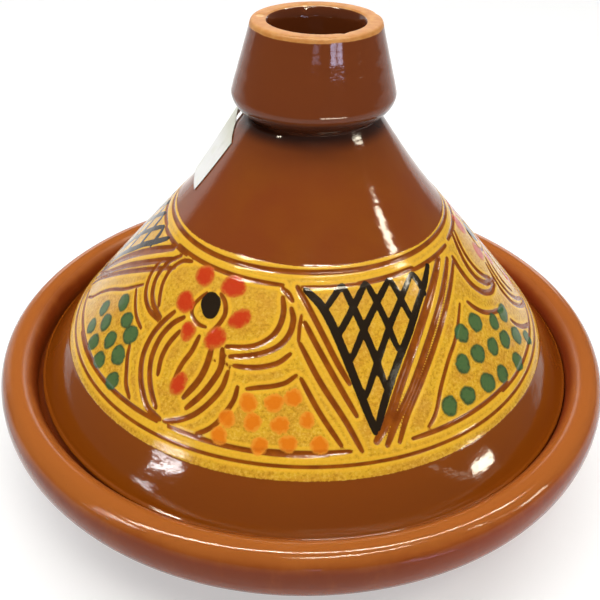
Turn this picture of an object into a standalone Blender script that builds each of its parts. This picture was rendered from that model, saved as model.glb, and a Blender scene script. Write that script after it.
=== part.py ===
"""A shut clay tagine: a round dish with a rolled rim, and the conical lid that rests inside it.

Metres, +Z up. The origin is on the surface that the dish stands on, at the middle of its foot.
"""
from math import cos, hypot, pi, radians, sin

import bmesh
import bpy
from mathutils import Matrix, Vector
from mathutils.geometry import interpolate_bezier

MM = 0.001

# Dish
DISH_RADIUS = 150 * MM
RIM_CREST = 61 * MM
RIM_HALF_WIDTH = 8.5 * MM
RIM_HALF_HEIGHT = 11.9 * MM
RIM_SQUARENESS = 2.2
BOWL_CENTRE_RADIUS = 88 * MM
BOWL_INNER_CURVE = 36 * MM
DISH_WALL = 10 * MM
LEDGE_RADIUS = BOWL_CENTRE_RADIUS + BOWL_INNER_CURVE
LEDGE_HEIGHT = BOWL_INNER_CURVE + DISH_WALL
FOOT_RADIUS = 97 * MM
FOOT_CHAMFER = 3 * MM

# Lid
SEAT_GAP = 0.3 * MM
LID_WALL = 7 * MM
LID_EDGE_RADIUS = 131.5 * MM
LID_EDGE_HEIGHT = LEDGE_HEIGHT + 5.5 * MM
LID_FOOT_OUTER = 128.5 * MM
LID_FOOT_INNER = 122.5 * MM
CONE_BOTTOM = (128.4 * MM, 54 * MM)
CONE_SKIRT = (116.4 * MM, 69 * MM)
CONE_MIDDLE = (79.8 * MM, 112 * MM)
CONE_UPPER = (51.3 * MM, 145 * MM)
CONE_NECK = (28.7 * MM, 176 * MM)
CEILING_HEIGHT = 164 * MM

# Handle knob at the top of the lid, hollow like an egg cup
SHOULDER_RADIUS = 35.4 * MM
SHOULDER_HEIGHT = 184.7 * MM
KNOB_TOP_RADIUS = 28.1 * MM
KNOB_TOP_HEIGHT = 211.5 * MM
LIP_TOP = 215.3 * MM
CUP_MOUTH_RADIUS = 20.3 * MM
CUP_WAIST_RADIUS = 16.6 * MM
CUP_FLOOR = 178 * MM

# The lid was thrown and set by hand: it sits a little to one side, and its top leans that way
LID_SHIFT = 1.2 * MM
LID_LEAN = 0.014

# Paper label on the lid, under the knob
LABEL_TOP = 171.5 * MM
LABEL_BOTTOM = 142.5 * MM
LABEL_NEAR_ANGLE = radians(-162.5)
LABEL_SWEEP = radians(52)
LABEL_GAP = 0.35 * MM
LABEL_THICKNESS = 0.3 * MM

TURN_STEPS = 56


def clear_scene():
    for old in list(bpy.data.objects):
        bpy.data.objects.remove(old, do_unlink=True)


def clay(name, colour, roughness):
    material = bpy.data.materials.new(name)
    material.use_nodes = True
    shader = material.node_tree.nodes["Principled BSDF"]
    shader.inputs["Base Color"].default_value = (*colour, 1.0)
    shader.inputs["Roughness"].default_value = roughness
    shader.inputs["Metallic"].default_value = 0.0
    return material


def smooth_line(points, steps):
    """Points along one smooth line through the given (radius, height) points."""
    knots = [Vector((radius, height)) for radius, height in points]
    ends = [2 * knots[0] - knots[1]] + knots + [2 * knots[-1] - knots[-2]]
    line = []
    for i in range(1, len(knots)):
        before, start, end, after = ends[i - 1:i + 3]
        start_handle = start + (end - before) / 6
        end_handle = end - (after - start) / 6
        line += interpolate_bezier(start, start_handle, end_handle, end, steps + 1)[:-1]
    return [(p[0], p[1]) for p in line] + [tuple(knots[-1])]


def arc(centre_radius, centre_height, size, start, end, steps):
    """Points on a circle in the (radius, height) plane, by angles from straight down, outwards."""
    angles = [start + (end - start) * i / steps for i in range(steps + 1)]
    return [(centre_radius + size * sin(a), centre_height - size * cos(a)) for a in angles]


def rolled_rim(start, end, steps):
    """The rim's full, slightly square round, by angles from the outer side, upwards."""
    centre_radius = DISH_RADIUS - RIM_HALF_WIDTH
    centre_height = RIM_CREST - RIM_HALF_HEIGHT
    power = 2 / RIM_SQUARENESS
    points = []
    for i in range(steps + 1):
        angle = start + (end - start) * i / steps
        across = abs(cos(angle)) ** power * (1 if cos(angle) > 0 else -1)
        upwards = abs(sin(angle)) ** power * (1 if sin(angle) > 0 else -1)
        points.append((centre_radius + RIM_HALF_WIDTH * across, centre_height + RIM_HALF_HEIGHT * upwards))
    return points


def turned(name, profile, material, sharp_angle=50):
    """A body turned on the wheel: the profile runs from the inside middle out and down to its end."""
    mesh = bpy.data.meshes.new(name)
    form = bmesh.new()
    vertices = [form.verts.new((radius, 0, height)) for radius, height in profile]
    edges = [form.edges.new(pair) for pair in zip(vertices, vertices[1:])]
    bmesh.ops.spin(form, geom=vertices + edges, cent=(0, 0, 0), axis=(0, 0, 1), angle=2 * pi,
                   steps=TURN_STEPS, use_merge=True)
    bmesh.ops.remove_doubles(form, verts=form.verts, dist=0.001 * MM)
    bmesh.ops.recalc_face_normals(form, faces=form.faces)
    form.to_mesh(mesh)
    form.free()
    mesh.shade_smooth()
    mesh.set_sharp_from_angle(angle=radians(sharp_angle))
    mesh.materials.append(material)
    body = bpy.data.objects.new(name, mesh)
    bpy.context.scene.collection.objects.link(body)
    return body


def lean_with_lid(mesh):
    """Carry a mesh from the wheel's true axis to the lid's own, slightly leaning one."""
    lean = Matrix.Shear("XY", 4, (LID_LEAN, 0))
    shift = Matrix.Translation((LID_SHIFT - LID_LEAN * CONE_BOTTOM[1], 0, 0))
    mesh.transform(shift @ lean)
    mesh.update()


def cone_outline(steps):
    return smooth_line([CONE_NECK, CONE_UPPER, CONE_MIDDLE, CONE_SKIRT, CONE_BOTTOM], steps)


def make_dish(material):
    inner_wall = arc(BOWL_CENTRE_RADIUS, LEDGE_HEIGHT, BOWL_INNER_CURVE, 0, pi / 2, 8)
    rim = rolled_rim(radians(192), radians(-110), 20)
    rim[0] = (rim[0][0], LEDGE_HEIGHT)
    outer_size = BOWL_INNER_CURVE + DISH_WALL
    outer_wall = arc(BOWL_CENTRE_RADIUS, LEDGE_HEIGHT, outer_size, radians(79), radians(15), 8)
    profile = [(0, DISH_WALL)] + inner_wall + rim + outer_wall
    profile += [(FOOT_RADIUS, 0), (0, 0)]
    return turned("base_dish", profile, material)


def inside_of_cone():
    """The lid's inner face, one wall thickness in from the outer one, up to a domed ceiling."""
    outer = cone_outline(3)
    inner = []
    for before, here, after in zip(outer, outer[1:], outer[2:]):
        along = Vector(after) - Vector(before)
        inwards = Vector((along[1], -along[0])).normalized()
        inner.append(tuple(Vector(here) + inwards * LID_WALL))
    ceiling_start = max(point[1] for point in inner if point[0] > SHOULDER_RADIUS)
    inner = [point for point in inner if point[1] <= ceiling_start]
    first = inner[0]
    dome = smooth_line([first, (first[0] * 0.55, first[1] + (CEILING_HEIGHT - first[1]) * 0.75),
                        (0, CEILING_HEIGHT)], 3)
    return list(reversed(inner)) + dome[1:]


def make_lid(material):
    cup = smooth_line([(0, CUP_FLOOR), (CUP_WAIST_RADIUS * 0.72, CUP_FLOOR + 2 * MM),
                       (CUP_WAIST_RADIUS, CUP_FLOOR + 12 * MM), (CUP_MOUTH_RADIUS, LIP_TOP - 1.2 * MM)], 3)
    lip = smooth_line([(CUP_MOUTH_RADIUS + 1.2 * MM, LIP_TOP - 0.3 * MM),
                       ((CUP_MOUTH_RADIUS + KNOB_TOP_RADIUS) / 2, LIP_TOP),
                       (KNOB_TOP_RADIUS - 1.3 * MM, LIP_TOP - 0.9 * MM),
                       (KNOB_TOP_RADIUS, KNOB_TOP_HEIGHT)], 2)
    knob = smooth_line([(SHOULDER_RADIUS - 2.9 * MM, SHOULDER_HEIGHT + 11 * MM),
                        (SHOULDER_RADIUS - 0.6 * MM, SHOULDER_HEIGHT + 3 * MM),
                        (SHOULDER_RADIUS, SHOULDER_HEIGHT),
                        (SHOULDER_RADIUS - 1.4 * MM, SHOULDER_HEIGHT - 3.4 * MM),
                        (CONE_NECK[0] + 1.2 * MM, CONE_NECK[1] + 1.6 * MM)], 2)
    edge = smooth_line([(LID_EDGE_RADIUS - 0.9 * MM, LID_EDGE_HEIGHT + 1.1 * MM),
                        (LID_EDGE_RADIUS, LID_EDGE_HEIGHT),
                        (LID_EDGE_RADIUS - 0.8 * MM, LID_EDGE_HEIGHT - 3.6 * MM),
                        (LID_FOOT_OUTER, LEDGE_HEIGHT + SEAT_GAP)], 2)
    profile = cup + lip + knob + cone_outline(3) + edge
    profile += [(LID_FOOT_INNER, LEDGE_HEIGHT + SEAT_GAP)] + inside_of_cone()
    lid = turned("lid", profile, material)
    lean_with_lid(lid.data)
    return lid


def radius_of_cone(height):
    outline = cone_outline(8)
    for (radius_above, above), (radius_below, below) in zip(outline, outline[1:]):
        if below <= height <= above:
            share = (above - height) / (above - below)
            return radius_above + (radius_below - radius_above) * share
    return CONE_NECK[0]


def make_label(material):
    """A paper rectangle bent round the cone, just off its surface."""
    rows = 4
    columns = 12
    form = bmesh.new()
    grid = []
    for row in range(rows + 1):
        height = LABEL_BOTTOM + (LABEL_TOP - LABEL_BOTTOM) * row / rows
        radius = radius_of_cone(height) + LABEL_GAP * 1.35
        line = []
        for column in range(columns + 1):
            angle = LABEL_NEAR_ANGLE - LABEL_SWEEP * column / columns
            line.append(form.verts.new((radius * cos(angle), radius * sin(angle), height)))
        grid.append(line)
    for lower, upper in zip(grid, grid[1:]):
        for i in range(columns):
            form.faces.new((lower[i], upper[i], upper[i + 1], lower[i + 1]))
    bmesh.ops.recalc_face_normals(form, faces=form.faces)
    outward = Vector((cos(LABEL_NEAR_ANGLE), sin(LABEL_NEAR_ANGLE), 0))
    if form.faces[:][0].normal.dot(outward) < 0:
        bmesh.ops.reverse_faces(form, faces=form.faces)
    mesh = bpy.data.meshes.new("paper_label")
    form.to_mesh(mesh)
    form.free()
    mesh.shade_smooth()
    mesh.materials.append(material)
    lean_with_lid(mesh)
    label = bpy.data.objects.new("paper_label", mesh)
    bpy.context.scene.collection.objects.link(label)
    thickness = label.modifiers.new("paper_thickness", "SOLIDIFY")
    thickness.thickness = LABEL_THICKNESS
    thickness.offset = 1.0
    return label


clear_scene()
make_dish(clay("terracotta", (0.46, 0.16, 0.06), 0.35))
make_lid(clay("glazed_brown_clay", (0.19, 0.055, 0.016), 0.18))
make_label(clay("white_paper", (0.86, 0.86, 0.83), 0.6))
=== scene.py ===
from math import cos, pi, radians, sin, tan

import bpy
import numpy as np
from mathutils import Matrix, Vector


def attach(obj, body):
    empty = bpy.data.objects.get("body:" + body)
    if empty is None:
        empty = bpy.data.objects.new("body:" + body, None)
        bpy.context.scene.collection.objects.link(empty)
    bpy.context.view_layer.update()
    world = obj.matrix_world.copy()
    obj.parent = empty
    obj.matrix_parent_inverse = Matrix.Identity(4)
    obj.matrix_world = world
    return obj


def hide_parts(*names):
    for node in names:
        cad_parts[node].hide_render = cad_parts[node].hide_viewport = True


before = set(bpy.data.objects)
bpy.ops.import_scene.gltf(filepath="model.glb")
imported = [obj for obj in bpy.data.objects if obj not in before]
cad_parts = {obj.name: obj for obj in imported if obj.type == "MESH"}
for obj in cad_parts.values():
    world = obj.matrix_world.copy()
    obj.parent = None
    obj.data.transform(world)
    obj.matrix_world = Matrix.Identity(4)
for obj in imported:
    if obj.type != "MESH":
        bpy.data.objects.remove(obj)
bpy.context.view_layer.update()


# Dish
# The dish is red earthenware, turned on a wheel: a shallow bowl, a ledge that carries the lid, and a
# thick rolled rim. It was glazed clear and bright outside, and the glaze ran thin on top of the rim, whose
# pale colour also holds a painted sheen of the light above.

# Sizes of the pot are in millimetres.
MM = 0.001
RIM_CENTRE_RADIUS = 141.35
RIM_CENTRE_HEIGHT = 49.0
RIM_HALF_WIDTH = 8.35
RIM_HALF_HEIGHT = 11.75
RIM_SQUARENESS = 2.2
BOWL_CENTRE_RADIUS = 88.0
BOWL_INNER_CURVE = 36.2
BOWL_OUTER_CURVE = 45.8
LEDGE_HEIGHT = 46.0
DISH_FLOOR = 9.9
FOOT_RADIUS = 96.8
UNEVEN_ABOVE = 36.0
UNEVEN_BEYOND = 131.0
DISH_COLUMNS = 288

RIM_TOP_CLAY_AND_SHEEN = (178, 101, 40)
RIM_SIDE_GLAZE = (128, 53, 12)
RIM_LOW_PAINTED_SHADE = (88, 28, 4)
RIM_RED_SIDE = (168, 66, 34)
DISH_FLASHED = (146, 72, 24)
DISH_SPECK = (120, 58, 30)


def arc(centre_radius, centre_height, size, start, end, steps):
    """Points on a circle in the (radius, height) plane, by angles from straight down, outwards."""
    angles = np.radians(np.linspace(start, end, steps))
    return [(centre_radius + size * sin(a), centre_height - size * cos(a)) for a in angles]


def rolled_rim(start, end, steps):
    """The rim's full, slightly square round, by angles from the outer side, upwards."""
    power = 2 / RIM_SQUARENESS
    points = []
    for angle in np.radians(np.linspace(start, end, steps)):
        across = np.sign(cos(angle)) * abs(cos(angle)) ** power
        upwards = np.sign(sin(angle)) * abs(sin(angle)) ** power
        points.append((RIM_CENTRE_RADIUS + RIM_HALF_WIDTH * across,
                       RIM_CENTRE_HEIGHT + RIM_HALF_HEIGHT * upwards))
    return points


def straight(start, end, steps):
    """Points between two places of a profile, both left out."""
    shares = np.linspace(0, 1, steps + 2)[1:-1]
    return [(start[0] + (end[0] - start[0]) * t, start[1] + (end[1] - start[1]) * t) for t in shares]


class Wheel:
    """Every point that a turned profile sweeps, as arrays: angle, radius, height and outward normal."""

    def __init__(self, profile, columns):
        outline = np.array(profile, float)
        along = np.gradient(outline, axis=0)
        along /= np.linalg.norm(along, axis=1)[:, None]
        self.columns = np.array(columns)
        self.starts = np.concatenate([[0], np.cumsum(self.columns)])
        self.angle = np.concatenate([np.arange(n) * 2 * pi / n for n in self.columns])
        self.radius, self.height = (np.repeat(line, self.columns) for line in outline.T)
        self.out, self.up = (np.repeat(line, self.columns) for line in (-along[:, 1], along[:, 0]))

    def lift(self, amount):
        """Moves the points out along their normals, by millimetres."""
        self.radius = self.radius + self.out * amount
        self.height = self.height + self.up * amount

    def faces(self):
        """Rows of quads; where the number of columns changes, one face takes in all the finer points."""
        found = []
        for row, (above, below) in enumerate(zip(self.columns, self.columns[1:])):
            first, second = self.starts[row], self.starts[row + 1]
            fewer = above if below == 1 else below if above == 1 else min(above, below)
            for i in range(fewer):
                ends = [range(i * n // fewer, (i + 1) * n // fewer + 1) for n in (above, below)]
                top = [first + k % above for k in ends[0]] if above > 1 else [first]
                low = [second + k % below for k in ends[1]] if below > 1 else [second]
                found.append([int(k) for k in [top[0], *low, *reversed(top[1:])]])
        return found

    def mesh(self, name, lean=0.0, shift=0.0):
        """The form in metres, with its top leaning towards +X."""
        across = self.radius * np.cos(self.angle) + shift + lean * self.height
        deep = self.radius * np.sin(self.angle)
        mesh = bpy.data.meshes.new(name)
        mesh.from_pydata(np.stack([across, deep, self.height], 1) * MM, [], self.faces())
        mesh.shade_smooth()
        return mesh


def placed(name, mesh, material, *nodes):
    """Puts a finished mesh in the scene in place of the plain solids that it stands for."""
    piece = bpy.data.objects.new(name, mesh)
    bpy.context.scene.collection.objects.link(piece)
    mesh.materials.append(material)
    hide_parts(*nodes)
    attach(piece, "root")
    return piece


def store(mesh, name, values):
    """Keeps a value at each point of a mesh, where its material reads it."""
    mesh.attributes.new(name, "FLOAT", "POINT").data.foreach_set("value", values)


def linear(colour):
    """A colour as the eye reads it, 0 to 255, in the linear light that shaders work in."""
    share = np.array(colour) / 255
    return (*np.where(share <= 0.04045, share / 12.92, ((share + 0.055) / 1.055) ** 2.4), 1.0)


class Wire:
    """An output of a material's nodes. Arithmetic on wires adds Math nodes to the same material."""

    def __init__(self, tree, socket=None):
        self.tree = tree
        self.socket = socket

    def add(self, kind, settings, sockets, output=0):
        """Adds a node of one kind: first its settings, then the value or the link of each socket."""
        node = self.tree.nodes.new("ShaderNode" + kind)
        for name, value in settings.items():
            setattr(node, name, value)
        for name, value in sockets.items():
            if isinstance(value, Wire):
                self.tree.links.new(value.socket, node.inputs[name])
            else:
                node.inputs[name].default_value = value
        return Wire(self.tree, node.outputs[output])

    def math(self, operation, first, second):
        """Adds one Math node, for two wires or for a wire and a plain number."""
        return self.add("Math", {"operation": operation}, {0: first, 1: second})

    def __add__(self, other):
        return self.math("ADD", self, other)

    __radd__ = __add__

    def __sub__(self, other):
        return self.math("SUBTRACT", self, other)

    def __rsub__(self, other):
        return self.math("SUBTRACT", other, self)

    def __mul__(self, other):
        return self.math("MULTIPLY", self, other)

    __rmul__ = __mul__

    def most(self, other):
        """The larger of the two, at each place."""
        return self.math("MAXIMUM", self, other)

    def smooth(self, low, high):
        """0 below low and 1 above high, or the other way round where low is the larger."""
        ends = {"From Min": low, "From Max": high, "Value": self}
        if low > high:
            ends = {"From Min": high, "From Max": low, "To Min": 1.0, "To Max": 0.0, "Value": self}
        return self.add("MapRange", {"interpolation_type": "SMOOTHSTEP"}, ends)

    def blend(self, under, over):
        """The colour under, covered by the colour over as far as this wire goes from 0 to 1."""
        return self.add("Mix", {"data_type": "RGBA"}, {0: self, 6: under, 7: over}, 2)

    def place(self):
        """Where on the piece the surface is, in metres."""
        return self.add("TexCoord", {}, {}, "Object")

    def axis(self, name):
        """One coordinate of the surface, in millimetres."""
        return self.add("SeparateXYZ", {}, {0: self.place()}, name) * 1000

    def noise(self, size, detail=2.0, rough=0.5, stretch=(1, 1, 1)):
        """Soft random values about 0.5, whose patches are about so many millimetres across."""
        spread = self.add("Mapping", {}, {"Vector": self.place(), "Scale": stretch})
        return self.add("TexNoise", {}, {"Vector": spread, "Scale": 1000 / size, "Detail": detail,
                                         "Roughness": rough})

    def stored(self, name):
        """A value that the mesh holds at its points."""
        return self.add("Attribute", {"attribute_name": name}, {}, "Fac")

    def bump(self, height, depth, strength=1.0, under=None):
        """A normal that follows a height of 0 to 1 with a depth in millimetres."""
        sockets = {"Height": height, "Distance": depth * MM, "Strength": strength}
        if under:
            sockets["Normal"] = under
        return self.add("Bump", {}, sockets, "Normal")


def finish_of(name, make=None, **fixed):
    """A Principled material: make gives its varying sockets, and fixed its even ones."""
    material = bpy.data.materials.new(name)
    material.use_nodes = True
    tree = material.node_tree
    shader = tree.nodes["Principled BSDF"]
    for socket, value in fixed.items():
        shader.inputs[socket.replace("_", " ")].default_value = value
    varying = make(Wire(tree)) if make else {}
    for socket, value in varying.items():
        tree.links.new(value.socket, shader.inputs[socket])
    return material


def dish_finish(clay):
    """Clear glaze on red clay: pale, with painted sheen, on the rim's top; redder to the right; darkest,
    with painted shade, under the rim.
    """
    height = clay.axis("Z")
    across = clay.axis("X")
    cloud = clay.noise(38, 3)
    streak = clay.noise(9, 4, 0.6, (1, 1, 0.35))
    speck = clay.noise(1.4, 2)
    # The top of the rim is pale where the glaze ran thin, and its colour also holds a painted sheen of the
    # light above.
    top = (height + 6 * cloud + 2 * streak).smooth(58, 64)
    # Under the rim the colour darkens into painted shade, which also stands for the dark floor that the
    # glaze mirrors there.
    low = (height + 8 * cloud).smooth(49, 38)
    side = low.blend(linear(RIM_SIDE_GLAZE), linear(RIM_LOW_PAINTED_SHADE))
    side = (streak.smooth(0.52, 0.75) * 0.45).blend(side, linear(DISH_FLASHED))
    side = (across.smooth(10, 110) * 0.35).blend(side, linear(RIM_RED_SIDE))
    colour = (top * 0.85).blend(side, linear(RIM_TOP_CLAY_AND_SHEEN))
    colour = (speck.smooth(0.68, 0.8) * 0.25).blend(colour, linear(DISH_SPECK))
    inner = clay.stored("inner")
    relief = clay.noise(4.5, 3) * 0.6 + clay.noise(0.9, 2) * 0.25
    return {
        "Base Color": colour,
        "Roughness": 0.05 + 0.25 * inner + 0.03 * cloud,
        "Normal": clay.bump(relief, 0.24, 0.6),
    }


ledge_outer = (RIM_CENTRE_RADIUS - RIM_HALF_WIDTH * 0.975, LEDGE_HEIGHT)
inner_wall = arc(BOWL_CENTRE_RADIUS, LEDGE_HEIGHT, BOWL_INNER_CURVE, 0, 90, 14)
outer_wall = arc(BOWL_CENTRE_RADIUS, LEDGE_HEIGHT, BOWL_OUTER_CURVE, 79, 15, 14)
dish_profile = [(0, DISH_FLOOR), *straight((0, DISH_FLOOR), inner_wall[0], 5), *inner_wall]
dish_profile += straight(inner_wall[-1], ledge_outer, 2) + [ledge_outer]
dish_profile += rolled_rim(190, -110, 44) + outer_wall
dish_profile += [(FOOT_RADIUS, 0), *straight((FOOT_RADIUS, 0), (0, 0), 5), (0, 0)]
dish_turns = [1] + [DISH_COLUMNS] * (len(dish_profile) - 2) + [1]
dish_wheel = Wheel(dish_profile, dish_turns)

# A hand on the wheel left the rim a little uneven, with faint rings round it.
on_rim = np.clip((dish_wheel.height - UNEVEN_ABOVE) / 6, 0, 1) * (dish_wheel.radius > UNEVEN_BEYOND)
unevenness = (0.1 * np.sin(3 * dish_wheel.angle + 1)
              + 0.06 * np.sin(7 * dish_wheel.angle + dish_wheel.height / 5))
throwing = 0.05 * np.sin(dish_wheel.height * 1.9 + 0.8 * np.sin(dish_wheel.angle))
dish_wheel.lift(on_rim * (unevenness + throwing))
dish_mesh = dish_wheel.mesh("dish")
inner_side = np.clip((RIM_CENTRE_RADIUS - 1 - dish_wheel.radius) / 4, 0, 1)
store(dish_mesh, "inner", inner_side)
dish = placed("dish", dish_mesh,
              finish_of("clear_glazed_terracotta", dish_finish, Specular_IOR_Level=0.22),
              "base_dish")


# Lid
# The lid is the same clay, turned as a hollow cone with a knob like an egg cup, coated with yellow slip
# round its middle, carved through the slip to the brown, dabbed with colours and dipped in chestnut glaze.

CONE_BOTTOM = (128.4, 54.0)
CONE_SKIRT = (116.4, 69.0)
CONE_MIDDLE = (79.8, 112.0)
CONE_UPPER = (51.3, 145.0)
CONE_NECK = (28.7, 176.0)
HEM_END = (130.1, 52.0)
LID_EDGE = (131.4, 50.6)
LID_WALL = 7.2
SEAT_HEIGHT = 46.35
SEAT_OUTER_RADIUS = 128.3
SEAT_INNER_RADIUS = 122.6
SHOULDER = (35.3, 184.7)
CUP_MOUTH_RADIUS = 20.3
KNOB_TOP = (28.0, 211.5)
KNOB_WAIST = (32.5, 195.7)
LIP_TOP = 215.2
CUP_FLOOR = 178.1
CEILING_HEIGHT = 163.8
CEILING_RADIUS = 36.0
LID_SHIFT = 1.2
LID_LEAN = 0.014
FINE_COLUMNS = 720
COARSE_COLUMNS = 144
BAND_ROWS = 106

# The painted band is drawn flat, in millimetres, as if the cone were cut open and unrolled: 0, 0 is the
# point where the cone would end, and a radius times UNROLL is the distance from there. Each panel has its
# own middle line, at an angle round the lid; a flower panel also sags down the cone by some millimetres.
UNROLL = 1.5377
BAND_TOP = 93.7
BAND_BOTTOM = 178.6
BAND_MARGIN = 1.6
ROW_GAP = 1.5
FLOWERS = ((-122, 0.0), (3, 4.5), (120, 1.5))
LATTICES = (-68, 60, 177.4)
FAR_FROM_MARKS = 9.0

# How far the relief stands out or is cut in, and the height above which the lid shows that it was turned.
SLIP_THICKNESS = 0.16
PAINT_THICKNESS = 0.07
GROOVE_DEPTH = 0.5
BURR_HEIGHT = 0.08
TURNED_ABOVE = 53.0

# Each spot where the lip has flaked: its angle, its radius, its size and its depth.
CHIPS = ((103, 21.2, 1.1, 0.9), (172, 23.5, 1.8, 0.6), (20, 28.0, 2.0, 0.4), (-60, 21.0, 1.5, 0.4))
CHIPS_ABOVE = 211.0


def smooth_line(points, steps):
    """Points along one smooth line through the given ones, with so many steps between each two."""
    knots = np.array(points, float)
    ends = np.vstack([2 * knots[0] - knots[1], knots, 2 * knots[-1] - knots[-2]])
    share = np.linspace(0, 1, steps + 1)[:-1, None]
    line = []
    for before, start, end, after in zip(ends, ends[1:], ends[2:], ends[3:]):
        out, back = (end - before) / 2, (after - start) / 2
        line.append(start + share * out + share ** 2 * (3 * (end - start) - 2 * out - back)
                    + share ** 3 * (2 * (start - end) + out + back))
    return np.vstack(line + [knots[-1:]])


def soft(value, low, high):
    """0 below low and 1 above high, with a soft step between them."""
    share = np.clip((value - low) / (high - low), 0, 1)
    return share * share * (3 - 2 * share)


def ridge(value, middle, width):
    """1 at the middle, falling softly to 0 on both sides."""
    return np.exp(-((value - middle) / width) ** 2)


class Drawing:
    """One colour or tool on the flat band. It keeps how far each point is from the edge of the nearest mark,
    which is less than 0 inside the mark."""

    def __init__(self, angle, reach):
        self.angle = angle
        self.reach = reach
        self.distance = np.full(len(angle), FAR_FROM_MARKS)
        self.turn_to(0)

    def turn_to(self, middle, sag=0.0):
        """Draws from here on about the line at this angle; sag carries the marks down the cone."""
        turned = (self.angle - radians(middle) + pi) % (2 * pi) - pi
        fallen = self.reach - sag * np.sin(np.clip((self.reach - 100) / 70, 0, 1) * pi)
        self.across = fallen * np.sin(turned / UNROLL)
        self.down = fallen * np.cos(turned / UNROLL)

    def mark(self, near, distance):
        """Takes in a new mark, by its distance from the points near it."""
        self.distance[near] = np.minimum(self.distance[near], distance)

    def line(self, points, width, steps=6):
        """A stroke of one width along a smooth line, a little narrower at its two ends."""
        path = smooth_line(points, steps) if len(points) > 2 else np.array(points, float)
        low, high = path.min(0) - 5, path.max(0) + 5
        near = np.flatnonzero((self.across > low[0]) & (self.across < high[0])
                              & (self.down > low[1]) & (self.down < high[1]))
        here = np.stack([self.across[near], self.down[near]], 1)
        best = np.full(len(near), FAR_FROM_MARKS)
        for i, (start, end) in enumerate(zip(path, path[1:])):
            run = end - start
            share = np.clip((here - start) @ run / (run @ run), 0, 1)
            gap = np.linalg.norm(here - start - share[:, None] * run, axis=1)
            place = np.abs(2 * (i + share) / (len(path) - 1) - 1)
            best = np.minimum(best, gap - width / 2 * (1 - 0.3 * place ** 6))
        self.mark(near, best)

    def lines(self, marks):
        """Draws strokes, each given as its width and then its points."""
        for width, *points in marks:
            self.line(points, width)

    def ring(self, reach, width, start=None, end=None):
        """A stroke round the cone at one distance from its point, whole or between two flat angles."""
        if start is None:
            wander = 0.25 * np.sin(2 * self.angle + 1) + 0.2 * np.sin(5 * self.angle)
            self.mark(slice(None), np.abs(self.reach - reach - wander) - width / 2)
            return
        angles = np.radians(np.linspace(start, end, 12))
        self.line([(reach * sin(a), reach * cos(a)) for a in angles], width, 2)

    def rings(self, marks):
        """Draws strokes round the cone, each given as ring takes it."""
        for mark in marks:
            self.ring(*mark)

    def dab(self, x, y, wide, high=None, tilt=0):
        """A brush dab at a place: an oval, by its half width and half height, with an uneven edge."""
        high = high or wide
        lean = radians(tilt)
        near = np.flatnonzero(np.hypot(self.across - x, self.down - y) < 14)
        dx, dy = self.across[near] - x, self.down[near] - y
        side = (dx * cos(lean) + dy * sin(lean)) / wide
        length = (dy * cos(lean) - dx * sin(lean)) / high
        around = np.arctan2(length, side)
        uneven = (1 + 0.05 * np.sin(2 * around + x) + 0.03 * np.sin(3 * around + y)
                  + 0.02 * np.sin(5 * around + x * y))
        self.mark(near, (np.hypot(side, length) - uneven) * min(wide, high))

    def dabs(self, marks):
        """Draws dabs, each given as dab takes it: its place, half width, half height and tilt."""
        for mark in marks:
            self.dab(*mark)


# Each carved stroke of a flower panel: its width, then its points from one end to the other.
FLOWER_CARVING = (
    (2.2, (28, 103), (30.5, 108), (31.3, 114), (30, 119.5), (26, 124.5), (21, 127.5), (14, 129.8)),
    (2.3, (33, 106), (35.5, 110), (36.2, 116), (34, 122), (29, 127), (23, 130.5), (17, 133)),
    (1.3, (37.8, 107), (39, 112), (40.8, 117.5)),
    (2.0, (39.6, 123), (36.5, 128), (31, 132), (25, 134.5), (20, 135.8)),
    (1.8, (26.5, 99.8), (29.5, 100.6), (32.3, 103)),
    (2.6, (-15.7, 125), (-19.7, 131), (-22.6, 138), (-23, 146), (-20.8, 153), (-16, 160), (-9.5, 165.7),
     (-2, 167.6)),
    (2.5, (-9.8, 125.5), (-14.3, 130), (-17.5, 137), (-18, 145), (-15.8, 152), (-11.5, 158.5), (-6, 164)),
    (2.2, (-9.2, 131.5), (-12, 138), (-12.8, 144.5), (-11.3, 151.5)),
    (2.7, (8.2, 133), (8.9, 140), (8, 147), (4.6, 155.5)),
    (2.5, (12.8, 131.5), (15, 138), (14, 145), (11.5, 152), (7.5, 159)),
    (2.2, (18.7, 139), (18.8, 146), (16.3, 153), (12.3, 159.5), (7, 164.2), (0.5, 167.6)),
    (2.1, (0.8, 130.2), (0.1, 137), (-1.8, 143), (-2.8, 150)),
    (1.9, (2.8, 110.8), (6, 113.4), (8, 117.6), (7.4, 122), (5.6, 126)),
    (1.6, (-3.6, 112.4), (-6.3, 116.5), (-7.5, 120.5), (-6, 123.6), (-2, 125.7), (2, 125.8)),
    (1.8, (45, 130), (42.3, 134.2), (38, 137.4), (33, 140), (28.5, 142.4)),
    (2.0, (24.8, 143), (25.4, 148), (24.2, 154), (22.3, 159.5), (19.5, 163.5), (16, 166.5)),
    (0.9, (11.2, 136.6), (11.7, 137)),
    (0.9, (14.6, 133), (15.2, 133.8)),
    (0.9, (16.6, 136), (17.2, 136.6)),
    (0.8, (18.4, 136.4), (18.7, 137.6)),
)

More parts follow.
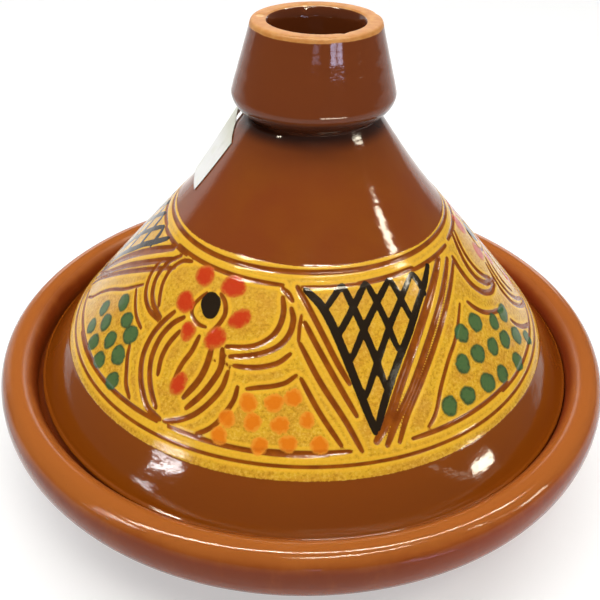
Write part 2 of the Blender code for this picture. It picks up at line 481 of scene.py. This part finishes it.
# The left side of a flower panel. On one of the panels it was cut with a heavier hand.
LEFT_CARVING = (
    (2.2, (-36, 105.5), (-39.3, 111.5), (-39.3, 118), (-36, 124), (-30, 128.5), (-22.5, 130.8)),
    (2.4, (-25, 101.5), (-31, 106), (-34.5, 113), (-33.5, 120), (-29, 125.5), (-22, 129.3)),
    (2.0, (-17.5, 102.3), (-23, 103.7), (-27.8, 109), (-28.9, 115), (-27.6, 120.5), (-25.5, 125)),
    (1.8, (-45.5, 122.5), (-42, 127.5), (-38, 132), (-34, 135), (-30.5, 137)),
    (2.1, (-33, 145.5), (-31.6, 150), (-29, 155), (-25.7, 161), (-21, 165.3)),
)
HEAVY_PANEL = FLOWERS[1][0]
HEAVY_LEFT_CARVING = (
    (2.9, (-36.5, 103), (-39.5, 110), (-40.8, 118), (-38.8, 126), (-33, 132.3), (-25, 135.3)),
    (2.8, (-23, 100.8), (-29.5, 107), (-33.5, 114), (-34.3, 121), (-31.5, 127.5), (-27, 131.5),
     (-22, 135)),
    (2.4, (-19.5, 102.5), (-25, 107.5), (-28.3, 113.5), (-29.2, 120), (-27.8, 126.5), (-24.5, 131.3)),
    (2.2, (-51.5, 117.5), (-51, 122.5), (-49, 128.3), (-45.5, 133.3), (-41, 137.7), (-36.5, 141.3)),
    (2.3, (-37.3, 149), (-36.3, 154), (-33.3, 159), (-29.5, 163), (-25.5, 166)),
)

# The strokes that frame a lattice panel, slanting to both sides, and the tops of the dotted fields.
LATTICE_CARVING = (
    (2.2, (-29.7, 97.5), (-27.6, 105), (-23.8, 120), (-21, 131), (-18, 140.5)),
    (2.2, (-30, 112.5), (-27.6, 122), (-22.6, 139), (-18, 153.5)),
    (2.2, (-33.7, 120.5), (-29.3, 137), (-23, 154), (-19, 167.3)),
    (2.0, (-36.4, 134), (-32.3, 148.5), (-26.6, 163.3)),
    (3.8, (38.3, 97.3), (29, 110), (13, 131.5), (2.5, 146), (-5, 157), (-12.3, 165)),
    (2.9, (44.3, 98), (33, 114.5), (20, 131.5), (8, 147.5), (-2, 159), (-8.3, 167.5)),
    (2.3, (48.3, 99.5), (38, 114), (25, 131), (13, 146), (3, 158), (-3, 167.6)),
    (1.7, (43.5, 118.7), (36, 131.5), (28, 141), (21, 151), (16, 160), (11, 165)),
    (1.6, (-35.4, 97.3), (-33.2, 102)),
)

# Strokes that follow the cone round, inside a panel: each one's distance from the cone's point, its width
# and the flat angles of its two ends. The last two go all the way round, above and below the panels.
FLOWER_ARCS = ((101.7, 1.9, -16.8, 14.9), (168.7, 1.9, 1, 24), (168.9, 2.0, -27, -1))
LATTICE_ARCS = ((101.8, 1.3, -16, -3), (101.8, 2.2, -3, 12), (102.8, 2.0, 12, 27),
                (167.9, 1.9, -20, -8), (167.7, 1.9, 1, 21))
BAND_RINGS = ((96.2, 2.1), (173.6, 1.3))

# Black brush strokes: the two sides of the lattice, then those that cross inside it.
LATTICE_PAINT = (
    (3.8, (-26.7, 99.6), (-22.7, 106), (-20, 114), (-18, 124), (-16, 136), (-14, 149), (-12, 161.5)),
    (3.6, (30.2, 99.7), (25, 108), (18.2, 117), (12, 126), (5, 135), (-2, 145), (-8, 155),
     (-10.6, 160.3)),
    (3.0, (-20.3, 108.6), (-15.5, 104), (-12, 100.8)),
    (3.2, (-18, 120.5), (-10.5, 112), (-2.3, 102)),
    (3.2, (-15.3, 131.5), (-6, 119), (1.2, 110.5), (8.3, 102.6)),
    (3.1, (-12.6, 146.8), (-5, 135), (4, 121.5), (12, 111.5), (19.6, 102.2)),
    (3.3, (-11.8, 101), (-9.4, 111), (-7.2, 121.5), (-5, 134), (-3.6, 145.5)),
    (3.1, (-1.7, 102.2), (0.9, 111), (3, 120), (5.2, 131.3)),
    (3.0, (9, 102.8), (12, 111.5), (14.6, 120.6)),
    (3.2, (20.4, 102), (22.4, 105.5), (24.3, 111.5)),
)

# The petals round the flower's black eye, then the dabs that fill the fields beside it. The field on the
# right of the photograph is fuller than the others, and is drawn about a middle line of its own.
EYE_DAB = (0.3, 116.6, 4.7, 5.9, -12)
RED_DABS = (
    (-7.8, 106, 5.2, 4.5, 10), (6.8, 106, 5.6, 5.0, -30), (-12.2, 119.3, 4.9, 4.9),
    (14.8, 117.5, 5.3, 3.9, -45), (-5.2, 130, 3.6, 4.6, 15), (8, 128.5, 4.2, 5.7, 30),
    (0, 151.3, 3.9, 5.2, 20),
)
ORANGE_DABS = (
    (47.3, 138.6, 3.7), (40.9, 143.3, 3.9), (31.3, 147, 3.9), (55.7, 144.7, 3.3), (46.5, 150.4, 3.8),
    (35.9, 153.6, 3.8), (25.6, 156.2, 3.7), (52.3, 156, 3.7), (42, 161, 3.6), (25.2, 163.5, 3.7),
    (63.9, 151.9, 3.8),
)
GREEN_DABS = (
    (-50.5, 130, 4.6, 4.2), (-42, 136.5, 4.4, 4.0), (-35.3, 141.5, 4.9, 4.6), (-57.5, 141.5, 4.7, 4.2),
    (-47.5, 147.5, 4.3, 4.5), (-37.5, 151.7, 4.9, 4.6), (-60, 152, 4.5, 4.3), (-49, 157.5, 4.5, 4.2),
    (-34.5, 162.6, 4.3, 4.1), (-65.5, 136, 4.4, 4.0), (-69, 146, 4.3, 4.0),
)
GREEN_DABS_RIGHT = (
    (-49, 128, 4.0, 4.6), (-38.5, 132, 4.6, 4.6), (-60, 135.5, 4.2, 4.4), (-50, 140, 4.4, 4.6),
    (-28, 142, 4.2, 3.8), (-40, 146, 4.4, 4.0), (-17, 146.5, 5.0, 4.4), (-57, 151, 4.7, 4.6),
    (-30, 151.5, 4.6, 4.4), (-20, 158.5, 4.8, 4.4), (-47, 156.5, 4.3, 4.0), (-33, 163, 4.6, 4.2),
    (-12.5, 167, 3.8, 4.0), (-69.2, 145, 4.2, 4.2), (-79, 140, 4.2, 4.4),
)
RIGHT_FIELD_MIDDLE = -10

# The lid's profile, from the floor of the cup in the knob, outside and down to the seat, and up inside.
cup = smooth_line([(0, CUP_FLOOR), (12, CUP_FLOOR + 2), (16.6, CUP_FLOOR + 12),
                   (CUP_MOUTH_RADIUS, LIP_TOP - 1.2)], 6)
lip = smooth_line([(CUP_MOUTH_RADIUS + 1, LIP_TOP - 0.2), (24.2, LIP_TOP), (26.3, LIP_TOP - 0.1),
                   (27.15, LIP_TOP - 0.7), (27.55, LIP_TOP - 2), KNOB_TOP], 4)
knob_wall = straight(KNOB_TOP, KNOB_WAIST, 14)
knob = smooth_line([KNOB_WAIST, (34.8, 187.7), SHOULDER, (34.1, 181.4), (31.6, 178.6),
                    (CONE_NECK[0] + 0.6, CONE_NECK[1] + 0.9)], 4)
neck_corner = [(CONE_NECK[0] + 0.04, CONE_NECK[1] + 0.06)]
cone = smooth_line([CONE_NECK, CONE_UPPER, CONE_MIDDLE, CONE_SKIRT, CONE_BOTTOM], 40)
hem = straight(CONE_BOTTOM, HEM_END, 4)
edge = smooth_line([HEM_END, (131.1, 51.4), LID_EDGE, (130.6, 47.9), (SEAT_OUTER_RADIUS, SEAT_HEIGHT)], 4)
cone_reach = cone[:, 0] * UNROLL
band_reach = np.linspace(BAND_TOP - BAND_MARGIN, BAND_BOTTOM + BAND_MARGIN, BAND_ROWS)
band = np.stack([np.interp(band_reach, cone_reach, line) for line in cone.T], 1)
upper_cone = cone[cone_reach < band_reach[0] - ROW_GAP][::3]
# One more row close under the neck keeps its corner crisp.
upper_cone = np.vstack([cone[:1], 0.93 * cone[:1] + 0.07 * cone[1:2], upper_cone[1:]])
skirt = cone[cone_reach > band_reach[-1] + ROW_GAP][::5]
inward = np.gradient(cone[::12], axis=0)
inward = np.stack([inward[:, 1], -inward[:, 0]], 1) / np.linalg.norm(inward, axis=1)[:, None]
inside = (cone[::12] + inward * LID_WALL)[::-1]
inside = inside[inside[:, 0] > CEILING_RADIUS]
ceiling = smooth_line([inside[-1], (inside[-1][0] * 0.55, 158.5), (0, CEILING_HEIGHT)], 4)[1:]

above_band = np.vstack([cup[1:], lip, knob_wall, knob, neck_corner, upper_cone])
below_band = np.vstack([skirt, hem, edge, [(SEAT_INNER_RADIUS, SEAT_HEIGHT)], inside, ceiling[:-1]])
lid_turns = [1] + [COARSE_COLUMNS] * len(above_band) + [FINE_COLUMNS] * BAND_ROWS
lid_turns += [COARSE_COLUMNS] * len(below_band) + [1]
lid_wheel = Wheel(np.vstack([cup[:1], above_band, band, below_band, ceiling[-1:]]), lid_turns)

# The drawing on the band, one layer for the carving and one for each paint.
band_row = 1 + len(above_band)
in_band = slice(lid_wheel.starts[band_row], lid_wheel.starts[band_row + BAND_ROWS])
flat_angle = lid_wheel.angle[in_band]
flat_reach = lid_wheel.radius[in_band] * UNROLL
carved, black, red, orange, green = (Drawing(flat_angle, flat_reach) for _ in range(5))
for middle, sag in FLOWERS:
    for layer in (carved, black, red, orange, green):
        layer.turn_to(middle, sag)
    carved.lines(FLOWER_CARVING)
    carved.rings(FLOWER_ARCS)
    black.dab(*EYE_DAB)
    red.dabs(RED_DABS)
    orange.dabs(ORANGE_DABS)
    if middle != HEAVY_PANEL:
        carved.lines(LEFT_CARVING)
        green.dabs(GREEN_DABS)
carved.turn_to(HEAVY_PANEL)
carved.lines(HEAVY_LEFT_CARVING)
for middle in LATTICES:
    carved.turn_to(middle)
    black.turn_to(middle)
    carved.lines(LATTICE_CARVING)
    carved.rings(LATTICE_ARCS)
    black.lines(LATTICE_PAINT)
green.turn_to(RIGHT_FIELD_MIDDLE)
green.dabs(GREEN_DABS_RIGHT)
carved.rings(BAND_RINGS)
wander = 0.5 * np.sin(flat_angle * 2 + 2) + 0.25 * np.sin(flat_angle * 7)
slip_edge = np.maximum(BAND_TOP + wander - flat_reach, flat_reach - BAND_BOTTOM + 0.6 * wander)

# The tool cuts a round groove and throws up a burr on both sides of it; slip and paint stand a little proud.
relief = np.zeros(len(lid_wheel.angle))
relief[in_band] = (SLIP_THICKNESS * soft(-slip_edge, -0.3, 0.5)
                   - GROOVE_DEPTH * soft(-carved.distance, -0.2, 0.9)
                   + BURR_HEIGHT * ridge(carved.distance, 0.6, 0.45))
for layer in (black, red, orange, green):
    relief[in_band] += PAINT_THICKNESS * soft(-layer.distance, -0.2, 0.4)
outside = lid_wheel.up + lid_wheel.out > 0
turning = (0.02 * np.sin(lid_wheel.height * 0.9 + np.sin(lid_wheel.angle))
           + 0.1 * np.sin(2 * lid_wheel.angle + 0.4))
relief += np.where(outside & (lid_wheel.height > TURNED_ABOVE), turning, 0)
flaked = np.zeros(len(relief))
in_cup = np.arange(len(relief)) < lid_wheel.starts[len(cup)]
for angle, radius, size, depth in CHIPS:
    away = np.hypot(lid_wheel.radius * np.cos(lid_wheel.angle) - radius * cos(radians(angle)),
                    lid_wheel.radius * np.sin(lid_wheel.angle) - radius * sin(radians(angle)))
    dent = np.where((lid_wheel.height > CHIPS_ABOVE) & ~in_cup, np.exp(-(away / size) ** 2), 0)
    flaked = np.maximum(flaked, dent)
    relief -= depth * dent
lid_wheel.lift(relief)
lid_mesh = lid_wheel.mesh("lid", LID_LEAN, LID_SHIFT - LID_LEAN * CONE_BOTTOM[1])
for name, distance in (("carved", carved.distance), ("black", black.distance), ("red", red.distance),
                       ("orange", orange.distance), ("green", green.distance), ("slip", slip_edge)):
    everywhere = np.full(len(lid_wheel.angle), FAR_FROM_MARKS)
    everywhere[in_band] = distance
    store(lid_mesh, name, everywhere)
store(lid_mesh, "flaked", flaked)
store(lid_mesh, "cup", in_cup.astype(float))

CHESTNUT = (140, 71, 17)
CHESTNUT_RED = (134, 62, 20)
CHESTNUT_GOLD = (136, 67, 7)
CHESTNUT_KNOB = (118, 57, 24)
GLAZE_SPECK = (150, 84, 34)
POOLED_GLAZE_AND_SHADE = (36, 17, 11)
GROOVE_BROWN = (152, 76, 3)
GROOVE_DEEP = (130, 60, 2)
YELLOW_SLIP = (228, 176, 42)
OCHRE_SLIP = (216, 157, 46)
BRUSHED_SLIP = (204, 132, 34)
SLIP_DARK_GRAIN = (180, 116, 20)
SLIP_PALE_GRAIN = (240, 198, 88)
UPPER_SLIP = (222, 166, 66)
BURR_HIGHLIGHT = (246, 190, 48)
BARE_LIP = (202, 130, 56)
BARE_LIP_PALE = (212, 148, 76)
FRESH_CHIP = (232, 186, 130)
RED_PAINT = (202, 44, 16)
RED_PAINT_EDGE = (208, 108, 36)
GREEN_PAINT = (56, 104, 62)
GREEN_PAINT_EDGE = (22, 72, 44)
ORANGE_PAINT = (232, 122, 14)
ORANGE_PAINT_EDGE = (238, 150, 44)
BLACK_PAINT = (36, 24, 8)


def lid_finish(glaze):
    """Chestnut glaze, and on the band painted slip that the carving cuts through."""
    height = glaze.axis("Z")
    cloud = glaze.noise(30, 3)
    grain = glaze.noise(1.3, 3, 0.6)
    # The grain of the clay frays the edge of every stroke and dab.
    fray = (grain - 0.5) * 0.7

    # The glaze is more golden below and redder on the knob. It is darker at the neck, under the knob and in
    # the cup, where it pooled and where painted shade is laid into the colour.
    brown = cloud.smooth(0.3, 0.75).blend(linear(CHESTNUT_RED), linear(CHESTNUT))
    brown = (height.smooth(110, 60) * 0.85).blend(brown, linear(CHESTNUT_GOLD))
    brown = (height.smooth(150, 184) * 0.85).blend(brown, linear(CHESTNUT_KNOB))
    brown = (grain.smooth(0.7, 0.8) * 0.2).blend(brown, linear(GLAZE_SPECK))
    # The neck, the knob's underside and the inside of the cup get painted shade as well as pooled glaze.
    neck = (height + 3 * cloud).smooth(171, 176.5) * (height + cloud).smooth(185, 182)
    cup_side = glaze.stored("cup").smooth(0.35, 0.65)
    brown = (neck * 0.8).most(cup_side * 0.35).blend(brown, linear(POOLED_GLAZE_AND_SHADE))

    # It was wiped off the top of the lip, down to the clay.
    chip = glaze.stored("flaked").smooth(0.25, 0.6)
    bare = ((height + glaze.noise(7, 3)).smooth(213.45, 213.85) * (1 - cup_side)).most(chip)
    clay = glaze.noise(3, 3).smooth(0.35, 0.7).blend(linear(BARE_LIP), linear(BARE_LIP_PALE))
    clay = chip.blend(clay, linear(FRESH_CHIP))
    brown = bare.blend(brown, clay)

    # The slip varies with the brush and the grain, and a painted highlight runs along the burr of each
    # groove.
    brush = glaze.noise(8, 4, 0.65, (1, 1, 6))
    slip = glaze.noise(11, 4, 0.6).smooth(0.35, 0.7).blend(linear(YELLOW_SLIP), linear(OCHRE_SLIP))
    slip = (brush.smooth(0.48, 0.72) * 0.45).blend(slip, linear(BRUSHED_SLIP))
    slip = (grain.smooth(0.5, 0.68) * 0.62).blend(slip, linear(SLIP_DARK_GRAIN))
    slip = (grain.smooth(0.48, 0.32) * 0.5).blend(slip, linear(SLIP_PALE_GRAIN))
    slip = (height.smooth(105, 135) * 0.4).blend(slip, linear(UPPER_SLIP))
    carving = glaze.stored("carved") + fray * 0.45
    # A painted highlight, pale yellow, on the raised edges beside each groove.
    burr_highlight = carving.smooth(0.1, 0.6) * carving.smooth(2.4, 1.1)
    slip = (burr_highlight * 0.7).blend(slip, linear(BURR_HIGHLIGHT))
    groove = glaze.noise(5, 2).smooth(0.3, 0.7).blend(linear(GROOVE_BROWN), linear(GROOVE_DEEP))
    cut = carving.smooth(0.25, -0.1)
    slip = cut.blend(slip, groove)

    # Each dab has another tone towards its edge.
    for name, paint, paint_edge in (("red", RED_PAINT, RED_PAINT_EDGE),
                                    ("green", GREEN_PAINT, GREEN_PAINT_EDGE),
                                    ("orange", ORANGE_PAINT, ORANGE_PAINT_EDGE)):
        border = glaze.stored(name) + fray * 2
        inner_part = (border + 3 * (glaze.noise(2.6, 2) - 0.5)).smooth(0.0, -1.8)
        dab = inner_part.blend(linear(paint_edge), linear(paint))
        slip = (border.smooth(0.5, -0.55) * 0.94).blend(slip, dab)
    slip = (glaze.stored("black") + fray * 0.8).smooth(0.06, -0.26).blend(slip, linear(BLACK_PAINT))

    painted = (glaze.stored("slip") + fray).smooth(0.2, -0.2)
    relief = glaze.noise(5, 3) * 0.6 + glaze.noise(1.4, 2) * 0.2
    rings = glaze.bump(glaze.noise(3, 2, 0.5, (0.4, 0.4, 1)), 0.24, 0.3)
    fine = glaze.bump(relief, 0.2, 0.6, rings)
    rough_slip = glaze.bump(painted * (glaze.noise(3.2, 3) + 0.3 * grain), 0.22, 0.35, fine)
    return {
        "Base Color": painted.blend(brown, slip),
        "Roughness": 0.06 + 0.42 * bare + 0.04 * cloud + 0.06 * painted + 0.02 * neck,
        "Normal": rough_slip,
    }


lid = placed("lid_carved", lid_mesh,
             finish_of("chestnut_glaze_over_slip", lid_finish, Specular_IOR_Level=0.32),
             "lid")


# Paper label
# A blank paper sticker, pressed by hand on the cone just under the knob. Paper can't follow a cone, so it
# creases towards the narrow end, and its far upper corner stands off the cone.

# The label's corners on the cone laid flat, as the carved strokes are, about the line of its near edge.
LABEL_MIDDLE = -162.5
LABEL_NEAR_LOW = (-2.6, 81.4)
LABEL_NEAR_TOP = (1.2, 56.2)
LABEL_FAR_TOP = (-30.6, 39.2)
LABEL_FAR_LOW = (-37.0, 76.0)
LABEL_ROWS = 36
LABEL_COLUMNS = 48
PAPER_WHITE = (246, 246, 243)
PAPER_STAIN_AND_SHADE = (222, 222, 196)
PAPER_THICKNESS = 0.14
PAPER_CLEARANCE = 0.4
CREASE_HEIGHT = 0.6
LIFTED_HEIGHT = 4.2

# The way off the cone under the label, outwards and upwards.
OFF_OUTWARDS = 0.65
OFF_UPWARDS = 0.75

# The flat sheet between its four corners is rolled round the cone and then set off it.
far = np.linspace(0, 1, LABEL_COLUMNS + 1)[None, :, None]
low = np.linspace(0, 1, LABEL_ROWS + 1)[:, None, None]
sheet = ((1 - low) * ((1 - far) * LABEL_NEAR_TOP + far * LABEL_FAR_TOP)
         + low * ((1 - far) * LABEL_NEAR_LOW + far * LABEL_FAR_LOW))
far, low = far[..., 0], low[..., 0]
label_angle = radians(LABEL_MIDDLE) + UNROLL * np.arctan2(sheet[..., 0], sheet[..., 1])
label_radius = np.hypot(sheet[..., 0], sheet[..., 1]) / UNROLL
crease = ridge(far + 0.3 * low, 0.32, 0.04) + 0.7 * ridge(far - 0.25 * low, 0.16, 0.03)
lifted = soft(far, 0.3, 0.78) * (1 - 0.85 * low)
off_cone = PAPER_CLEARANCE + CREASE_HEIGHT * crease * soft(low, 0, 0.15) * (1 - low) + LIFTED_HEIGHT * lifted
label_height = np.interp(label_radius, cone[:, 0], cone[:, 1]) + OFF_UPWARDS * off_cone
label_radius = label_radius + OFF_OUTWARDS * off_cone
leaning = LID_SHIFT + LID_LEAN * (label_height - CONE_BOTTOM[1])
label_points = np.stack([label_radius * np.cos(label_angle) + leaning,
                         label_radius * np.sin(label_angle), label_height], -1).reshape(-1, 3) * MM
label_faces = []
for row in range(LABEL_ROWS):
    for column in range(LABEL_COLUMNS):
        corner = row * (LABEL_COLUMNS + 1) + column
        label_faces.append((corner, corner + 1, corner + LABEL_COLUMNS + 2, corner + LABEL_COLUMNS + 1))
label_mesh = bpy.data.meshes.new("label_sticker")
label_mesh.from_pydata(label_points, [], label_faces)
label_mesh.shade_smooth()


def paper_finish(paper):
    """Matt white paper, faintly stained, with painted shade and a painted reflection turning it cream at its
    narrow end.
    """
    fibre = paper.noise(0.8, 3)
    # The cream towards the narrow end is painted shade and reflection, where the label creases under the
    # knob.
    narrow_end_shade = paper.axis("Z").smooth(157, 168) * 0.6
    stain_and_shade = (paper.noise(9, 3).smooth(0.5, 0.8) * 0.3).most(narrow_end_shade)
    return {
        "Base Color": stain_and_shade.blend(linear(PAPER_WHITE), linear(PAPER_STAIN_AND_SHADE)),
        "Roughness": 0.45 + 0.15 * fibre,
        "Normal": paper.bump(fibre, 0.03, 0.5),
    }


label = placed("label_sticker", label_mesh, finish_of("sticker_paper", paper_finish), "paper_label")
thickness = label.modifiers.new("paper_thickness", "SOLIDIFY")
thickness.thickness = PAPER_THICKNESS * MM
thickness.offset = 1.0


# Floor, light and camera
# Two wide lights overhead, which no reflection shows, light the pot on a pale floor. Three tubes on the
# ceiling and small panes near the pot show in reflections alone, each as one highlight of the photograph.
# The surround is bright behind the pot, and the camera stands where the photograph was taken from.

# Places and sizes here are in metres, and in the panes in millimetres.
FLOOR_WIDTH = 8.0
FLOOR_WHITE = (0.62, 0.62, 0.62, 1.0)
FLOOR_GLOW = 0.74
CAMERA_AIM = Vector((-0.0013, 0, 0.07565))
CAMERA_DISTANCE = 0.4133
CAMERA_PITCH = radians(34.48)
CAMERA_ROLL = radians(1.02)
CAMERA_LENS = 49.2

floor_mesh = bpy.data.meshes.new("floor")
half = FLOOR_WIDTH / 2
floor_corners = [(-half, -half, 0), (half, -half, 0), (half, half, 0), (-half, half, 0)]
floor_mesh.from_pydata(floor_corners, [], [(0, 1, 2, 3)])
floor = bpy.data.objects.new("floor", floor_mesh)
bpy.context.scene.collection.objects.link(floor)
floor_mesh.materials.append(finish_of("floor_paint", Base_Color=FLOOR_WHITE, Roughness=0.8,
                                      Emission_Color=FLOOR_WHITE, Emission_Strength=FLOOR_GLOW))

CEILING = 1.5
TUBE_HEIGHT = 1.56
TUBE_WIDTH = 0.085
WHITE = (1, 1, 1)
WARM = (1.0, 0.97, 0.9)
CREAM = (1.0, 0.92, 0.72)
BLUE_DAY = (0.66, 0.7, 1.0)
VIOLET = (0.8, 0.6, 1.0)
KNOB_FRONT = (11, -28, 207)
SKIRT_LEFT = (-55, -104, 66)
PANEL_PLACE = Vector((0, 2.5, 0.93))
PANEL_AIM = Vector((0, 0.6, 0))


def add_light(name, place, wide, high, brightness, colour):
    """A flat light that shines down its own -Z, so many times as bright as a white wall in full light."""
    lamp = bpy.data.lights.new(name, "AREA")
    lamp.shape = "RECTANGLE"
    lamp.size = wide
    lamp.size_y = high
    lamp.energy = brightness * pi * wide * high
    lamp.color = colour
    light = bpy.data.objects.new(name, lamp)
    light.location = place
    light.visible_camera = False
    bpy.context.scene.collection.objects.link(light)
    return light


def ceiling_tube(name, start, end, brightness, colour):
    """A tube light on the ceiling between two places, given in ceiling heights from above the pot."""
    start, end = Vector(start) * CEILING, Vector(end) * CEILING
    place = ((start + end) / 2).to_3d() + Vector((0, 0, TUBE_HEIGHT))
    light = add_light(name, place, (end - start).length, TUBE_WIDTH, brightness, colour)
    light.rotation_euler.z = (end - start).to_3d().to_track_quat("X", "Z").to_euler().z
    light.visible_diffuse = False


def towards(bearing, height):
    """The way to a place seen at a bearing, from the front to the right, and at a height above level."""
    bearing, height = radians(bearing), radians(height)
    return Vector((sin(bearing) * cos(height), -cos(bearing) * cos(height), sin(height)))


def pane(name, target, start, end, thick, away, spread, brightness, colour=WHITE):
    """A small window, so many millimetres away from the spot of the pot that mirrors it. Seen from there
    it is a bar between two places, each a bearing and a height, and so many degrees thick. Spread is how
    wide it shines, so that no other part of the pot mirrors it."""
    start, end = towards(*start), towards(*end)
    way = (start + end).normalized()
    along = (end - start).normalized()
    light = add_light(name, (Vector(target) + way * away) * MM, (end - start).length * away * MM,
                      radians(thick) * away * MM, brightness, colour)
    light.rotation_euler = Matrix((along, way.cross(along), way)).transposed().to_euler()
    light.data.spread = radians(spread)
    half_spread = radians(spread) / 2
    light.data.energy *= (tan(half_spread) - half_spread) / tan(half_spread)
    light.visible_diffuse = False


soft_box = add_light("soft_box", (-0.3, 0.0, CEILING), 2.4, 0.4, 6.6, WHITE)
soft_box_front = add_light("soft_box_front", (0.36, -0.8, CEILING), 0.8, 0.4, 8, WARM)
for box in (soft_box, soft_box_front):
    box.visible_glossy = False

# The long arcs of light on the rim, the lid's edge and the cone.
ceiling_tube("tube_back_left", (-0.84, -0.36), (-0.175, -0.021), 100, CREAM)
ceiling_tube("tube_back_right", (-0.175, -0.021), (0.86, 0.169), 100, CREAM)
ceiling_tube("tube_front", (-0.02, -0.66), (0.48, -0.37), 100, CREAM)

# The window that the knob reflects, the light under it, and the streak down the cone.
pane("pane_knob", KNOB_FRONT, (27.6, 10.6), (28.4, 15.4), 10, 120, 44, 18, BLUE_DAY)
pane("pane_knob_right", KNOB_FRONT, (39.4, 9.4), (40.4, 14.2), 9.5, 120, 44, 18, BLUE_DAY)
pane("pane_knob_faint", (3, -29, 209), (0.8, 12.4), (0.8, 15.5), 12, 120, 44, 4, BLUE_DAY)
pane("pane_knob_shoulder", (11, -34, 186), (6, 3), (48, -2), 5, 120, 80, 30, CREAM)
pane("pane_neck", (21, -24, 174), (74, 35.8), (89, 28.8), 3.5, 80, 40, 50, CREAM)
pane("pane_cone", (35, -45, 140), (79.3, 36), (77.4, 23.5), 5.5, 150, 46, 50, CREAM)
pane("pane_band", (42, -86, 94), (45, 34), (65, 28.5), 9, 120, 60, 5, CREAM)

# The two bright patches below the band, then the lines of light on the rim.
pane("pane_skirt_right", (76, -97, 62), (66.5, 15.6), (82.7, 11.3), 3.8, 100, 50, 50, CREAM)
pane("pane_skirt_left", SKIRT_LEFT, (-66.1, 17), (-45.5, 26.4), 1.8, 100, 60, 60)
pane("pane_skirt_left_top", SKIRT_LEFT, (-67.7, 22.8), (-47, 27.5), 1.2, 100, 60, 60)
pane("pane_skirt_left_low", (-65, -108, 56), (-69.4, 14.6), (-55, 18.1), 0.6, 100, 50, 60)
pane("pane_rim_left", (-69, -128, 59), (-76, 37.9), (-54, 41.2), 1.6, 100, 50, 80, CREAM)
pane("pane_rim_right_top", (69, -128, 59), (62.5, 45.5), (70.5, 35), 2.2, 70, 40, 50, CREAM)
pane("pane_rim_right", (84, -120, 59), (58.1, 34.8), (84, 13.2), 1.0, 70, 46, 16, CREAM)
pane("pane_rim_low", (5, -148, 56), (0, 2.7), (8, 1.9), 1, 150, 30, 20, VIOLET)
pane("pane_rim_low_right", (50, -140, 56), (28, -5.3), (53.7, -12.7), 1, 150, 60, 14, VIOLET)

# A faint panel far behind, which the back of the rim reflects.
panel = add_light("panel_behind", PANEL_PLACE, 3.0, 0.6, 2.4, WHITE)
panel.rotation_euler = (PANEL_PLACE - PANEL_AIM).to_track_quat("Z", "Y").to_euler()

# The way to the bright part of the surround, and how bright the rest of it is.
BRIGHT_WAY = Vector((-0.233, 0.972))
SURROUND_GREY = 0.2
world = bpy.data.worlds.new("surround")
bpy.context.scene.world = world
world.use_nodes = True
air = Wire(world.node_tree)
direction = air.add("TexCoord", {}, {}, "Generated")
across = air.add("SeparateXYZ", {}, {0: direction}, "X")
northward = air.add("SeparateXYZ", {}, {0: direction}, "Y")
upward = air.add("SeparateXYZ", {}, {0: direction}, "Z")
behind = across * BRIGHT_WAY.x + northward * BRIGHT_WAY.y
bright = behind.smooth(0.65, 0.76) * (1 - 0.4 * behind.smooth(0.78, 0.9)) * upward.smooth(0.52, 0.3)
seen = air.add("LightPath", {}, {}, "Is Camera Ray")
backdrop = world.node_tree.nodes["Background"]
world.node_tree.links.new((SURROUND_GREY + bright).most(seen).socket, backdrop.inputs["Strength"])
backdrop.inputs["Color"].default_value = (*WHITE, 1)

back = Vector((0, -cos(CAMERA_PITCH), sin(CAMERA_PITCH)))
right = Vector((1, 0, 0))
over = back.cross(right)
tilted_right = right * cos(CAMERA_ROLL) + over * sin(CAMERA_ROLL)
tilted_up = over * cos(CAMERA_ROLL) - right * sin(CAMERA_ROLL)
lens = bpy.data.cameras.new("camera")
lens.lens = CAMERA_LENS
lens.sensor_width = 36
lens.clip_start = 0.01
camera = bpy.data.objects.new("camera", lens)
camera.matrix_world = Matrix.Translation(CAMERA_AIM + back * CAMERA_DISTANCE) @ Matrix(
    (tilted_right, tilted_up, back)).transposed().to_4x4()
bpy.context.scene.collection.objects.link(camera)
bpy.context.scene.camera = camera
bpy.context.scene.view_settings.view_transform = "Standard"
